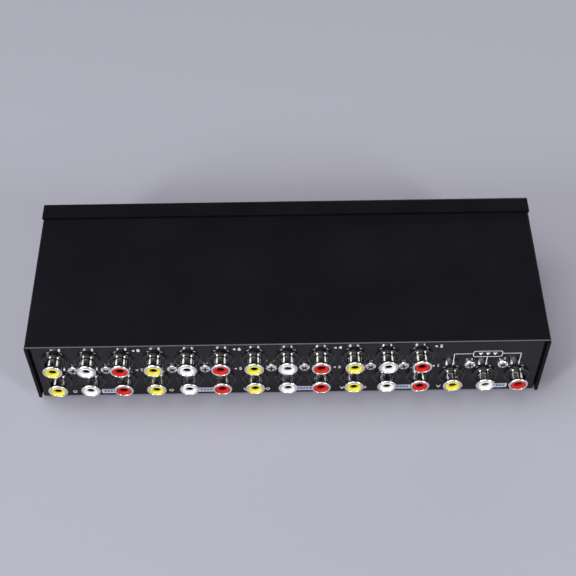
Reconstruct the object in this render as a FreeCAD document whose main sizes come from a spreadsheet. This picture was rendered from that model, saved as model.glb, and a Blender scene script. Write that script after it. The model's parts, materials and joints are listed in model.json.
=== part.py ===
import FreeCAD, Part
import os
import Sketcher

# Audio video selector switch: eight inputs and one output of three phono jacks each on the rear
# panel, and a bank of eight push buttons with a lock bar behind the front panel.
# X runs along the case, +Y is the rear with the jacks, -Y the front with the buttons, +Z is up.
# The origin is under the middle of the whole object, on the surface that it stands on.

# Driving sizes in millimetres, and counts
SIZES = {
    # jacks and the blocks that hold them
    "jack_pitch": 14.0,
    "row_pitch": 14.5,
    "input_blocks": 4,
    "block_columns": 3,
    "rows": 2,
    "end_margin": 10.5,
    "jack_axis_height": 6.9,
    "top_margin": 11.4,
    "block_gap": 0.4,
    "block_depth": 12.0,
    "block_edge": 7.0,
    "block_slope": 5.0,
    "screw_edge": 4.5,
    "screw_rise": 0.9,
    "collar_radius": 5.75,
    "collar_clearance": 0.3,
    "collar_proud": 1.0,
    "jack_length": 6.7,
    "neck_radius": 3.7,
    "lip_radius": 4.15,
    "lip_length": 1.0,
    "shell_wall": 0.4,
    "insulator_clearance": 0.05,
    "insulator_recess": 0.5,
    "contact_radius": 1.7,
    "contact_depth": 4.2,
    "shell_sides": 12,
    "insulator_sides": 10,
    # sheet steel case
    "case_depth": 78.0,
    "sheet_gauge": 1.2,
    "bend_radius": 0.6,
    "edge_gap": 0.3,
    "cover_lift": 3.0,
    "rear_recess": 2.0,
    "strip_depth": 8.8,
    "lower_flange": 8.0,
    "ear_height": 12.0,
    "ear_width": 12.0,
    "ear_spacing": 40.0,
    "foot_height": 1.0,
    "foot_width": 12.0,
    "foot_inset": 6.0,
    # screws
    "screw_head_radius": 2.4,
    "screw_head_height": 1.6,
    "screw_sides": 8,
    "cover_screw_height": 7.0,
    # main board
    "standoff_height": 4.4,
    "standoff_radius": 3.2,
    "board_thickness": 1.6,
    "board_side_gap": 3.3,
    "board_front_gap": 5.0,
    "board_screw_side": 18.0,
    "rear_screw_gap": 7.8,
    # push buttons and switches
    "switch_count": 8,
    "switch_pitch": 20.0,
    "switch_width": 12.0,
    "switch_height": 14.0,
    "switch_depth": 24.0,
    "cap_width": 12.0,
    "cap_height": 7.0,
    "cap_proud": 4.7,
    "cap_clearance": 0.3,
    "cap_chamfer": 0.6,
    "skirt_border": 1.0,
    "skirt_thickness": 1.0,
    "socket_depth": 3.7,
    "socket_clearance": 0.05,
    "button_travel": 3.5,
    "end_clearance": 0.5,
    "plunger_side": 3.6,
    "plunger_grip": 18.0,
    "plunger_clearance": 0.3,
    "notch_depth": 1.2,
    "cam_ramp": 1.2,
    "spring_length": 5.6,
    "spring_outer": 3.3,
    "spring_inner": 2.7,
    "spring_sides": 8,
    # switch bracket and lock bar
    "bracket_gauge": 1.0,
    "bracket_end_gap": 7.0,
    "bracket_drop": 5.2,
    "bracket_top_depth": 23.0,
    "bracket_foot": 14.0,
    "bracket_foot_depth": 12.0,
    "slide_gap": 0.3,
    "lock_thickness": 0.8,
    "lock_half_height": 4.2,
    "lock_travel": 1.0,
    "lock_tab_depth": 4.0,
    "lock_tab_half": 2.0,
    "lock_spring_length": 4.5,
    "lock_spring_radius": 1.6,
}

# Lengths and levels that follow from the driving sizes, written as formulas
JACK_COLUMNS = "((sizes.input_blocks + 1) * sizes.block_columns)"
BLOCK_PITCH = "(sizes.block_columns * sizes.jack_pitch)"
CASE_WIDTH = f"(({JACK_COLUMNS} - 1) * sizes.jack_pitch + 2 * sizes.end_margin)"
HALF_WIDTH = f"({CASE_WIDTH} / 2)"
BASE_HALF = f"({HALF_WIDTH} - sizes.sheet_gauge - sizes.edge_gap)"
FIRST_JACK = f"(({JACK_COLUMNS} - 1) * sizes.jack_pitch / 2)"
INPUT_COLUMNS = "(sizes.input_blocks * sizes.block_columns)"
FIRST_OUTPUT = f"({FIRST_JACK} - {INPUT_COLUMNS} * sizes.jack_pitch)"

WHOLE_DEPTH = "(sizes.cap_proud + sizes.case_depth + sizes.jack_length - sizes.rear_recess)"
FRONT = f"(sizes.cap_proud - {WHOLE_DEPTH} / 2)"
FRONT_INNER = f"({FRONT} + sizes.sheet_gauge)"
REAR_EDGE = f"({FRONT} + sizes.case_depth)"
PANEL = f"({REAR_EDGE} - sizes.rear_recess)"
PANEL_INNER = f"({PANEL} - sizes.sheet_gauge)"
BLOCK_REAR = f"({PANEL_INNER} - sizes.block_depth)"
SEAT = f"({PANEL} + sizes.collar_proud)"
LIP = f"({PANEL} + sizes.jack_length)"
INSULATOR_FACE = f"({LIP} - sizes.insulator_recess)"
BORE_RADIUS = "(sizes.neck_radius - sizes.shell_wall)"

UNDERSIDE = "sizes.foot_height"
FLOOR = f"({UNDERSIDE} + sizes.sheet_gauge)"
BOARD_UNDER = f"({FLOOR} + sizes.standoff_height)"
BOARD_TOP = f"({BOARD_UNDER} + sizes.board_thickness)"
LOWER_ROW = f"({BOARD_TOP} + sizes.jack_axis_height)"
UPPER_ROW = f"({LOWER_ROW} + sizes.row_pitch)"
SCREW_ROW = f"({LOWER_ROW} + sizes.row_pitch / 2 + sizes.screw_rise)"
COVER_UNDER = f"({UPPER_ROW} + sizes.top_margin)"
COVER_TOP = f"({COVER_UNDER} + sizes.sheet_gauge)"
STRIP_TOP = f"({COVER_TOP} + sizes.sheet_gauge)"
SIDE_BOTTOM = f"({UNDERSIDE} + sizes.cover_lift)"
OUTER_BEND = "(sizes.bend_radius + sizes.sheet_gauge)"

BUTTON_LEVEL = f"({BOARD_TOP} + sizes.switch_height / 2)"
SWITCH_TOP = f"({BOARD_TOP} + sizes.switch_height)"
SKIRT_FRONT = f"({FRONT_INNER} + sizes.cap_clearance)"
SKIRT_REAR = f"({SKIRT_FRONT} + sizes.skirt_thickness)"
BRACKET_FRONT = f"({SKIRT_REAR} + sizes.spring_length)"
BRACKET_INNER = f"({BRACKET_FRONT} + sizes.bracket_gauge)"
LOCK_FRONT = f"({BRACKET_INNER} + sizes.slide_gap)"
LOCK_REAR = f"({LOCK_FRONT} + sizes.lock_thickness)"
SWITCH_FRONT = f"({LOCK_REAR} + sizes.slide_gap)"
SWITCH_REAR = f"({SWITCH_FRONT} + sizes.switch_depth)"
PLUNGER_FRONT = f"({SKIRT_REAR} - sizes.socket_depth)"
PLUNGER_REAR = f"({SWITCH_FRONT} + sizes.plunger_grip)"
CHANNEL_SIDE = "(sizes.plunger_side + 2 * sizes.plunger_clearance)"
LAST_SWITCH = "((sizes.switch_count - 1) * sizes.switch_pitch / 2)"
END_PLATE = f"({LAST_SWITCH} + sizes.switch_width / 2 + sizes.bracket_end_gap)"

BOARD_HALF = f"({BASE_HALF} - sizes.board_side_gap)"
BOARD_SCREW = f"({HALF_WIDTH} - sizes.board_screw_side)"
FRONT_SCREWS = f"({BRACKET_FRONT} + sizes.bracket_foot_depth / 2)"
REAR_SCREWS = f"({BLOCK_REAR} - sizes.rear_screw_gap)"

# A pattern's second direction: from the lower row of jacks to the upper one
UPWARDS = ("XY_Plane", "sizes.row_pitch", "sizes.rows", False)

doc = FreeCAD.newDocument("selector_switch")
sheet = doc.addObject("Spreadsheet::Sheet", "sizes")
for line, (word, number) in enumerate(SIZES.items(), start=1):
    sheet.set(f"A{line}", word)
    sheet.set(f"B{line}", str(number))
    sheet.setAlias(f"B{line}", word)
doc.recompute()


def value(formula):
    """The number that a formula of the size sheet gives."""
    return float(sheet.evalExpression(formula))


def plane(body, role):
    """One of a body's own origin planes."""
    return next(f for f in body.Origin.OriginFeatures if f.Role == role)


def new_body(node):
    body = doc.addObject("PartDesign::Body", node)
    body.Label = node
    return body


def attach(feature, body, role, x="0", y="0", z="0"):
    """Puts a sketch or a primitive on an origin plane, with its own origin at x, y, z."""
    local = {
        "XY_Plane": (x, y, z),
        "XZ_Plane": (x, z, f"-({y})"),
        "YZ_Plane": (y, z, x),
    }[role]
    feature.AttachmentSupport = [(plane(body, role), "")]
    feature.MapMode = "FlatFace"
    for letter, formula in zip("xyz", local):
        feature.setExpression(f"AttachmentOffset.Base.{letter}", formula)


def add_loop(sketch, corners):
    """Draws a closed loop of straight edges, with each corner bound to its two formulas."""
    points = [FreeCAD.Vector(value(across), value(up), 0) for across, up in corners]
    first = sketch.GeometryCount
    count = len(points)
    for i in range(count):
        sketch.addGeometry(Part.LineSegment(points[i], points[(i + 1) % count]), False)
    for i in range(count):
        after = first + (i + 1) % count
        sketch.addConstraint(Sketcher.Constraint("Coincident", first + i, 2, after, 1))
    for i in range(count):
        for kind, coordinate, formula in (
            ("DistanceX", points[i].x, corners[i][0]),
            ("DistanceY", points[i].y, corners[i][1]),
        ):
            bound = sketch.addConstraint(
                Sketcher.Constraint(kind, -1, 1, first + i, 1, coordinate)
            )
            sketch.setExpression(f"Constraints[{bound}]", formula)


def new_sketch(body, name, role, loops, x="0", y="0", z="0"):
    sketch = body.newObject("Sketcher::SketchObject", name)
    attach(sketch, body, role, x, y, z)
    for corners in loops:
        add_loop(sketch, corners)
    return sketch


def rectangle(left, right, low, high):
    return [(left, low), (right, low), (right, high), (left, high)]


def centred(across, up, width, height):
    """A rectangle about a centre."""
    return rectangle(
        f"{across} - ({width}) / 2",
        f"{across} + ({width}) / 2",
        f"{up} - ({height}) / 2",
        f"{up} + ({height}) / 2",
    )


def add_pad(body, name, sketch, length, both_ways=False):
    pad = body.newObject("PartDesign::Pad", name)
    pad.Profile = sketch
    pad.setExpression("Length", length)
    pad.SideType = "Symmetric" if both_ways else "One side"
    body.Tip = pad
    return pad


def add_pocket(body, name, sketch, depth):
    pocket = body.newObject("PartDesign::Pocket", name)
    pocket.Profile = sketch
    pocket.setExpression("Length", depth)
    body.Tip = pocket
    return pocket


def add_prism(body, name, kind, sides, radius, length, role, x, y, z):
    """A prism with flat sides, square to a plane. The radius is the one to its corners."""
    prism = body.newObject(f"PartDesign::{kind}Prism", name)
    attach(prism, body, role, x, y, z)
    prism.setExpression("Polygon", sides)
    prism.setExpression("Circumradius", radius)
    prism.setExpression("Height", length)
    body.Tip = prism
    return prism


def add_row(body, name, features, role, spacing, count, backwards=False, second=None):
    """Repeats features along a plane's normal, and along a second plane's if one is given."""
    row = body.newObject("PartDesign::LinearPattern", name)
    row.Originals = features
    row.Direction = (plane(body, role), [""])
    row.Reversed = backwards
    row.Mode = "Spacing"
    row.setExpression("Offset", spacing)
    row.setExpression("Occurrences", count)
    if second:
        second_role, second_spacing, second_count, second_backwards = second
        row.Direction2 = (plane(body, second_role), [""])
        row.Reversed2 = second_backwards
        row.Mode2 = "Extent"
        row.setExpression("Length2", f"{second_spacing} * max({second_count} - 1; 1)")
        row.setExpression("Occurrences2", second_count)
    body.Tip = row
    return row


def add_mirror(body, name, features, role):
    mirror = body.newObject("PartDesign::Mirrored", name)
    mirror.Originals = features
    mirror.MirrorPlane = (plane(body, role), [""])
    body.Tip = mirror
    return mirror


def edges_along(feature, axis, *places):
    """Names of the straight edges along an axis that run through one of the places."""
    across, up = [letter for letter in "xyz" if letter != axis]
    targets = [(value(first), value(second)) for first, second in places]
    names = []
    for number, edge in enumerate(feature.Shape.Edges, start=1):
        ends = [vertex.Point for vertex in edge.Vertexes]
        for target in targets:
            if len(ends) == 2 and all(
                abs(getattr(end, across) - target[0]) < 0.01
                and abs(getattr(end, up) - target[1]) < 0.01
                for end in ends
            ):
                names.append(f"Edge{number}")
    return names


def add_fillet(body, name, base, edges, radius):
    fillet = body.newObject("PartDesign::Fillet", name)
    fillet.Base = (base, edges)
    fillet.setExpression("Radius", radius)
    body.Tip = fillet
    return fillet


# Base: floor and rear panel bent from one sheet, with four ears for the cover's screws
base = new_body("base_chassis")
base_profile = new_sketch(
    base,
    "base_profile",
    "YZ_Plane",
    [
        [
            (FRONT, UNDERSIDE),
            (PANEL, UNDERSIDE),
            (PANEL, f"{COVER_UNDER} - sizes.edge_gap"),
            (PANEL_INNER, f"{COVER_UNDER} - sizes.edge_gap"),
            (PANEL_INNER, FLOOR),
            (FRONT, FLOOR),
        ]
    ],
)
base_sheet = add_pad(base, "base_sheet", base_profile, f"2 * {BASE_HALF}", both_ways=True)
doc.recompute()
base_bend = add_fillet(
    base,
    "base_outer_bend",
    base_sheet,
    edges_along(base_sheet, "x", (PANEL, UNDERSIDE)),
    OUTER_BEND,
)
doc.recompute()
add_fillet(
    base,
    "base_inner_bend",
    base_bend,
    edges_along(base_bend, "x", (PANEL_INNER, FLOOR)),
    "sizes.bend_radius",
)
ear_sketch = new_sketch(
    base,
    "ear_outline",
    "XY_Plane",
    [
        centred(
            f"{BASE_HALF} - sizes.sheet_gauge / 2",
            f"{side} * sizes.ear_spacing / 2",
            "sizes.sheet_gauge",
            "sizes.ear_width",
        )
        for side in (-1, 1)
    ],
    z=UNDERSIDE,
)
ears = add_pad(base, "ears", ear_sketch, "sizes.ear_height")
add_mirror(base, "far_ears", [ears], "YZ_Plane")


def jack_hole(name, x):
    """A hole for a jack's collar, cut through the rear panel on the lower row."""
    return add_prism(
        base,
        name,
        "Subtractive",
        "sizes.shell_sides",
        "sizes.collar_radius + sizes.collar_clearance",
        "3 * sizes.sheet_gauge",
        "XZ_Plane",
        x,
        f"{PANEL} + sizes.sheet_gauge",
        LOWER_ROW,
    )


input_hole = jack_hole("input_hole", FIRST_JACK)
add_row(
    base,
    "input_holes",
    [input_hole],
    "YZ_Plane",
    "sizes.jack_pitch",
    INPUT_COLUMNS,
    backwards=True,
    second=UPWARDS,
)
output_hole = jack_hole("output_hole", FIRST_OUTPUT)
add_row(
    base,
    "output_holes",
    [output_hole],
    "YZ_Plane",
    "sizes.jack_pitch",
    "sizes.block_columns",
    backwards=True,
)

# Top cover: a U of sheet that slides in under the front panel's flange and ends past the panel
COVER_FRONT = f"({FRONT_INNER} + sizes.bend_radius + sizes.edge_gap)"
cover = new_body("top_cover")
cover_profile = new_sketch(
    cover,
    "cover_profile",
    "XZ_Plane",
    [
        [
            (f"-{HALF_WIDTH}", SIDE_BOTTOM),
            (f"-{HALF_WIDTH}", COVER_TOP),
            (HALF_WIDTH, COVER_TOP),
            (HALF_WIDTH, SIDE_BOTTOM),
            (f"{HALF_WIDTH} - sizes.sheet_gauge", SIDE_BOTTOM),
            (f"{HALF_WIDTH} - sizes.sheet_gauge", COVER_UNDER),
            (f"sizes.sheet_gauge - {HALF_WIDTH}", COVER_UNDER),
            (f"sizes.sheet_gauge - {HALF_WIDTH}", SIDE_BOTTOM),
        ]
    ],
    y=REAR_EDGE,
)
cover_sheet = add_pad(cover, "cover_sheet", cover_profile, f"{REAR_EDGE} - {COVER_FRONT}")
doc.recompute()
cover_bends = add_fillet(
    cover,
    "cover_outer_bends",
    cover_sheet,
    edges_along(cover_sheet, "y", (HALF_WIDTH, COVER_TOP), (f"-{HALF_WIDTH}", COVER_TOP)),
    OUTER_BEND,
)
doc.recompute()
add_fillet(
    cover,
    "cover_inner_bends",
    cover_bends,
    edges_along(
        cover_bends,
        "y",
        (f"{HALF_WIDTH} - sizes.sheet_gauge", COVER_UNDER),
        (f"sizes.sheet_gauge - {HALF_WIDTH}", COVER_UNDER),
    ),
    "sizes.bend_radius",
)

# Front panel: one sheet with a flange over the cover and a flange welded on the base's floor
front = new_body("front_panel")
front_profile = new_sketch(
    front,
    "front_profile",
    "YZ_Plane",
    [
        [
            (FRONT, FLOOR),
            (FRONT, STRIP_TOP),
            (f"{FRONT} + sizes.strip_depth", STRIP_TOP),
            (f"{FRONT} + sizes.strip_depth", COVER_TOP),
            (FRONT_INNER, COVER_TOP),
            (FRONT_INNER, FLOOR),
        ]
    ],
)
add_pad(front, "front_sheet", front_profile, CASE_WIDTH, both_ways=True)
flange_profile = new_sketch(
    front,
    "flange_profile",
    "YZ_Plane",
    [
        rectangle(
            f"{FRONT_INNER} - sizes.sheet_gauge / 2",
            f"{FRONT_INNER} + sizes.lower_flange",
            FLOOR,
            f"{FLOOR} + sizes.sheet_gauge",
        )
    ],
)
front_flange = add_pad(
    front,
    "front_flange",
    flange_profile,
    f"2 * ({BASE_HALF} - sizes.sheet_gauge)",
    both_ways=True,
)
doc.recompute()
front_bends = add_fillet(
    front,
    "front_outer_bends",
    front_flange,
    edges_along(front_flange, "x", (FRONT, STRIP_TOP), (FRONT, FLOOR)),
    OUTER_BEND,
)
doc.recompute()
add_fillet(
    front,
    "front_inner_bends",
    front_bends,
    edges_along(
        front_bends,
        "x",
        (FRONT_INNER, COVER_TOP),
        (FRONT_INNER, f"{FLOOR} + sizes.sheet_gauge"),
    ),
    "sizes.bend_radius",
)
window_sketch = new_sketch(
    front,
    "button_window",
    "XZ_Plane",
    [
        centred(
            f"-{LAST_SWITCH}",
            BUTTON_LEVEL,
            "sizes.cap_width + 2 * sizes.cap_clearance",
            "sizes.cap_height + 2 * sizes.cap_clearance",
        )
    ],
    y=FRONT,
)
window = add_pocket(front, "first_window", window_sketch, "sizes.sheet_gauge")
add_row(
    front, "button_windows", [window], "YZ_Plane", "sizes.switch_pitch", "sizes.switch_count"
)

# Anti-slip pads under the corners of the base
feet = new_body("rubber_feet")
FOOT_X = f"({BASE_HALF} - sizes.foot_inset - sizes.foot_width / 2)"
FOOT_FRONT = f"({FRONT} + sizes.foot_inset + sizes.foot_width / 2)"
FOOT_REAR = f"({PANEL} - sizes.foot_inset - sizes.foot_width / 2)"
foot_sketch = new_sketch(
    feet,
    "foot_outline",
    "XY_Plane",
    [centred(f"-{FOOT_X}", FOOT_FRONT, "sizes.foot_width", "sizes.foot_width")],
)
foot = add_pad(feet, "first_foot", foot_sketch, "sizes.foot_height")
add_row(
    feet,
    "all_feet",
    [foot],
    "YZ_Plane",
    f"2 * {FOOT_X}",
    "2",
    second=("XZ_Plane", f"({FOOT_REAR} - {FOOT_FRONT})", "2", True),
)

# Heads of the screws that fix the cover's sides to the ears
cover_screws = new_body("cover_screws")
cover_screw = add_prism(
    cover_screws,
    "first_cover_screw",
    "Additive",
    "sizes.screw_sides",
    "sizes.screw_head_radius",
    "sizes.screw_head_height",
    "YZ_Plane",
    HALF_WIDTH,
    "sizes.ear_spacing / 2",
    f"{UNDERSIDE} + sizes.cover_screw_height",
)
add_row(
    cover_screws,
    "all_cover_screws",
    [cover_screw],
    "XZ_Plane",
    "sizes.ear_spacing",
    "2",
    second=("YZ_Plane", f"({CASE_WIDTH} + sizes.screw_head_height)", "2", True),
)

# Heads of the screws that hold each block to the rear panel, between its columns of jacks
jack_screws = new_body("jack_screws")
jack_screw = add_prism(
    jack_screws,
    "first_jack_screw",
    "Additive",
    "sizes.screw_sides",
    "sizes.screw_head_radius",
    "sizes.screw_head_height",
    "XZ_Plane",
    f"{FIRST_JACK} - sizes.jack_pitch / 2",
    f"{PANEL} + sizes.screw_head_height",
    SCREW_ROW,
)
add_row(
    jack_screws,
    "all_jack_screws",
    [jack_screw],
    "YZ_Plane",
    BLOCK_PITCH,
    "sizes.input_blocks + 1",
    backwards=True,
    second=("YZ_Plane", "sizes.jack_pitch", "sizes.block_columns - 1", True),
)

# Main board on four hexagonal standoffs
board = new_body("main_board")
board_sketch = new_sketch(
    board,
    "board_outline",
    "XY_Plane",
    [
        rectangle(
            f"-{BOARD_HALF}",
            BOARD_HALF,
            f"{FRONT_INNER} + sizes.board_front_gap",
            f"{PANEL_INNER} - sizes.edge_gap",
        )
    ],
    z=BOARD_UNDER,
)
add_pad(board, "board_sheet", board_sketch, "sizes.board_thickness")

standoffs = new_body("board_standoffs")
standoff = add_prism(
    standoffs,
    "first_standoff",
    "Additive",
    "6",
    "sizes.standoff_radius",
    "sizes.standoff_height",
    "XY_Plane",
    f"-{BOARD_SCREW}",
    FRONT_SCREWS,
    FLOOR,
)
add_row(
    standoffs,
    "all_standoffs",
    [standoff],
    "YZ_Plane",
    f"2 * {BOARD_SCREW}",
    "2",
    second=("XZ_Plane", f"({REAR_SCREWS} - {FRONT_SCREWS})", "2", True),
)

# Screw heads on the board: the front pair also holds the switch bracket's feet
board_screws = new_body("board_screws")
for name, depth, level in (
    ("front_board_screw", FRONT_SCREWS, f"{BOARD_TOP} + sizes.bracket_gauge"),
    ("rear_board_screw", REAR_SCREWS, BOARD_TOP),
):
    board_screw = add_prism(
        board_screws,
        name,
        "Additive",
        "sizes.screw_sides",
        "sizes.screw_head_radius",
        "sizes.screw_head_height",
        "XY_Plane",
        f"-{BOARD_SCREW}",
        depth,
        level,
    )
    add_row(board_screws, f"{name}s", [board_screw], "YZ_Plane", f"2 * {BOARD_SCREW}", "2")


def jack_block(node, first_column, top, columns, blocks=None, second=None):
    """Moulded blocks that stand on the board against the rear panel, with a collar per jack."""
    body = new_body(node)
    edge = "(sizes.jack_pitch - sizes.block_gap) / 2"
    far_edge = f"{first_column} - (sizes.block_columns - 1) * sizes.jack_pitch - {edge}"
    profile = new_sketch(
        body,
        f"{node}_profile",
        "YZ_Plane",
        [
            [
                (PANEL_INNER, BOARD_TOP),
                (PANEL_INNER, top),
                (f"{BLOCK_REAR} + sizes.block_slope", top),
                (BLOCK_REAR, f"{top} - sizes.block_slope"),
                (BLOCK_REAR, BOARD_TOP),
            ]
        ],
        x=far_edge,
    )
    moulding = add_pad(body, f"{node}_moulding", profile, f"{BLOCK_PITCH} - sizes.block_gap")
    if blocks:
        add_row(
            body, f"{node}_row", [moulding], "YZ_Plane", BLOCK_PITCH, blocks, backwards=True
        )
    collar = add_prism(
        body,
        f"{node}_collar",
        "Additive",
        "sizes.shell_sides",
        "sizes.collar_radius",
        "sizes.collar_proud + sizes.sheet_gauge + sizes.block_depth / 2",
        "XZ_Plane",
        first_column,
        SEAT,
        LOWER_ROW,
    )
    add_row(
        body,
        f"{node}_collars",
        [collar],
        "YZ_Plane",
        "sizes.jack_pitch",
        columns,
        backwards=True,
        second=second,
    )


jack_block(
    "input_jack_blocks",
    FIRST_JACK,
    f"({UPPER_ROW} + sizes.block_edge)",
    INPUT_COLUMNS,
    blocks="sizes.input_blocks",
    second=UPWARDS,
)
jack_block(
    "output_jack_block",
    FIRST_OUTPUT,
    f"({SCREW_ROW} + sizes.screw_edge)",
    "sizes.block_columns",
)


def jack_shells(node, first_column, columns, second=None):
    """Plated shells with a wider lip, each standing on its collar and open right through."""
    body = new_body(node)
    features = []
    for name, kind, sides, radius, length in (
        ("neck", "Additive", "sizes.shell_sides", "sizes.neck_radius", f"{LIP} - {SEAT}"),
        ("lip", "Additive", "sizes.shell_sides", "sizes.lip_radius", "sizes.lip_length"),
        ("bore", "Subtractive", "sizes.insulator_sides", BORE_RADIUS, f"{LIP} - {PANEL}"),
    ):
        features.append(
            add_prism(
                body,
                f"{node}_{name}",
                kind,
                sides,
                radius,
                length,
                "XZ_Plane",
                first_column,
                LIP,
                LOWER_ROW,
            )
        )
    add_row(
        body,
        f"{node}_row",
        features,
        "YZ_Plane",
        "sizes.jack_pitch",
        columns,
        backwards=True,
        second=second,
    )


jack_shells("input_shells", FIRST_JACK, INPUT_COLUMNS, second=UPWARDS)
jack_shells("output_shells", FIRST_OUTPUT, "sizes.block_columns")

# Coloured insulators in the shells: each block has a yellow, a white and a red column
for place, colour in enumerate(("yellow", "white", "red")):
    insulators = new_body(f"{colour}_insulators")
    column = f"({FIRST_JACK} - {place} * sizes.jack_pitch)"
    for name, level, count in (
        (f"{colour}_lower", LOWER_ROW, "sizes.input_blocks + 1"),
        (f"{colour}_upper", UPPER_ROW, "sizes.input_blocks"),
    ):
        plug = add_prism(
            insulators,
            name,
            "Additive",
            "sizes.insulator_sides",
            f"{BORE_RADIUS} - sizes.insulator_clearance",
            f"{INSULATOR_FACE} - {SEAT}",
            "XZ_Plane",
            column,
            INSULATOR_FACE,
            level,
        )
        contact_hole = insulators.newObject("PartDesign::SubtractiveCylinder", f"{name}_hole")
        attach(contact_hole, insulators, "XZ_Plane", column, INSULATOR_FACE, level)
        contact_hole.setExpression("Radius", "sizes.contact_radius")
        contact_hole.setExpression("Height", "sizes.contact_depth")
        add_row(
            insulators,
            f"{name}_row",
            [plug, contact_hole],
            "YZ_Plane",
            BLOCK_PITCH,
            count,
            backwards=True,
        )

# Switch bracket: a bent sheet that holds the switches down, with a foot at each end
bracket = new_body("switch_bracket")
channel_profile = new_sketch(
    bracket,
    "channel_profile",
    "YZ_Plane",
    [
        [
            (BRACKET_FRONT, f"{SWITCH_TOP} + sizes.bracket_gauge"),
            (
                f"{BRACKET_FRONT} + sizes.bracket_top_depth",
                f"{SWITCH_TOP} + sizes.bracket_gauge",
            ),
            (f"{BRACKET_FRONT} + sizes.bracket_top_depth", SWITCH_TOP),
            (BRACKET_INNER, SWITCH_TOP),
            (BRACKET_INNER, f"{BUTTON_LEVEL} - sizes.bracket_drop"),
            (BRACKET_FRONT, f"{BUTTON_LEVEL} - sizes.bracket_drop"),
        ]
    ],
)
add_pad(bracket, "channel", channel_profile, f"2 * {END_PLATE}", both_ways=True)
end_profile = new_sketch(
    bracket,
    "end_profile",
    "XZ_Plane",
    [
        [
            (END_PLATE, f"{SWITCH_TOP} + sizes.bracket_gauge"),
            (f"{END_PLATE} + sizes.bracket_gauge", f"{SWITCH_TOP} + sizes.bracket_gauge"),
            (f"{END_PLATE} + sizes.bracket_gauge", f"{BOARD_TOP} + sizes.bracket_gauge"),
            (f"{END_PLATE} + sizes.bracket_foot", f"{BOARD_TOP} + sizes.bracket_gauge"),
            (f"{END_PLATE} + sizes.bracket_foot", BOARD_TOP),
            (END_PLATE, BOARD_TOP),
        ]
    ],
    y=f"{BRACKET_FRONT} + sizes.bracket_foot_depth",
)
end_plate = add_pad(bracket, "end_plate", end_profile, "sizes.bracket_foot_depth")
add_mirror(bracket, "far_end_plate", [end_plate], "YZ_Plane")
stem_window_sketch = new_sketch(
    bracket,
    "stem_window",
    "XZ_Plane",
    [centred(f"-{LAST_SWITCH}", BUTTON_LEVEL, CHANNEL_SIDE, CHANNEL_SIDE)],
    y=BRACKET_FRONT,
)
stem_window = add_pocket(
    bracket, "first_stem_window", stem_window_sketch, "sizes.bracket_gauge"
)
add_row(
    bracket,
    "stem_windows",
    [stem_window],
    "YZ_Plane",
    "sizes.switch_pitch",
    "sizes.switch_count",
)

# Lock bar: a strip behind the bracket with a slot for each plunger and a tab for its spring.
# It is drawn open, where every plunger passes, and closes towards -X onto the plungers' notches.
LOCK_LEFT = f"(sizes.slide_gap + sizes.lock_travel - {END_PLATE})"
LOCK_RIGHT = f"({END_PLATE} - sizes.lock_spring_length)"
lock = new_body("lock_bar")
lock_outline = new_sketch(
    lock,
    "lock_outline",
    "XZ_Plane",
    [
        rectangle(
            LOCK_LEFT,
            LOCK_RIGHT,
            f"{BUTTON_LEVEL} - sizes.lock_half_height",
            f"{BUTTON_LEVEL} + sizes.lock_half_height",
        )
    ],
    y=LOCK_REAR,
)
add_pad(lock, "lock_strip", lock_outline, "sizes.lock_thickness")
lock_tab = new_sketch(
    lock,
    "lock_tab_outline",
    "XY_Plane",
    [
        rectangle(
            f"{LOCK_RIGHT} - sizes.lock_thickness",
            LOCK_RIGHT,
            f"{LOCK_REAR} - sizes.lock_thickness / 2",
            f"{LOCK_REAR} + sizes.lock_tab_depth",
        )
    ],
    z=f"{BUTTON_LEVEL} - sizes.lock_tab_half",
)
add_pad(lock, "lock_tab", lock_tab, "2 * sizes.lock_tab_half")
slot_sketch = new_sketch(
    lock,
    "lock_slot",
    "XZ_Plane",
    [centred(f"-{LAST_SWITCH}", BUTTON_LEVEL, CHANNEL_SIDE, CHANNEL_SIDE)],
    y=LOCK_FRONT,
)
slot = add_pocket(lock, "first_lock_slot", slot_sketch, "sizes.lock_thickness")
add_row(lock, "lock_slots", [slot], "YZ_Plane", "sizes.switch_pitch", "sizes.switch_count")

# The space of the coil spring that pulls the lock bar open
lock_spring = new_body("lock_spring")
add_prism(
    lock_spring,
    "lock_spring_coil",
    "Additive",
    "sizes.spring_sides",
    "sizes.lock_spring_radius",
    "sizes.lock_spring_length",
    "YZ_Plane",
    LOCK_RIGHT,
    f"{LOCK_REAR} + sizes.lock_tab_depth / 2",
    BUTTON_LEVEL,
)


def switch_housing(number, x):
    """A switch with a toe that the lock bar slides on and a channel for its plunger."""
    body = new_body(f"switch_housing_{number}")
    toe = f"{BUTTON_LEVEL} - sizes.lock_half_height - sizes.slide_gap"
    profile = new_sketch(
        body,
        f"switch_profile_{number}",
        "YZ_Plane",
        [
            [
                (SWITCH_FRONT, toe),
                (SWITCH_FRONT, SWITCH_TOP),
                (SWITCH_REAR, SWITCH_TOP),
                (SWITCH_REAR, BOARD_TOP),
                (BRACKET_INNER, BOARD_TOP),
                (BRACKET_INNER, toe),
            ]
        ],
        x=x,
    )
    add_pad(body, f"switch_case_{number}", profile, "sizes.switch_width", both_ways=True)
    channel_sketch = new_sketch(
        body,
        f"channel_outline_{number}",
        "XZ_Plane",
        [centred(x, BUTTON_LEVEL, CHANNEL_SIDE, CHANNEL_SIDE)],
        y=SWITCH_FRONT,
    )
    add_pocket(
        body,
        f"channel_{number}",
        channel_sketch,
        "sizes.plunger_grip + sizes.button_travel + sizes.end_clearance",
    )


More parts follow.
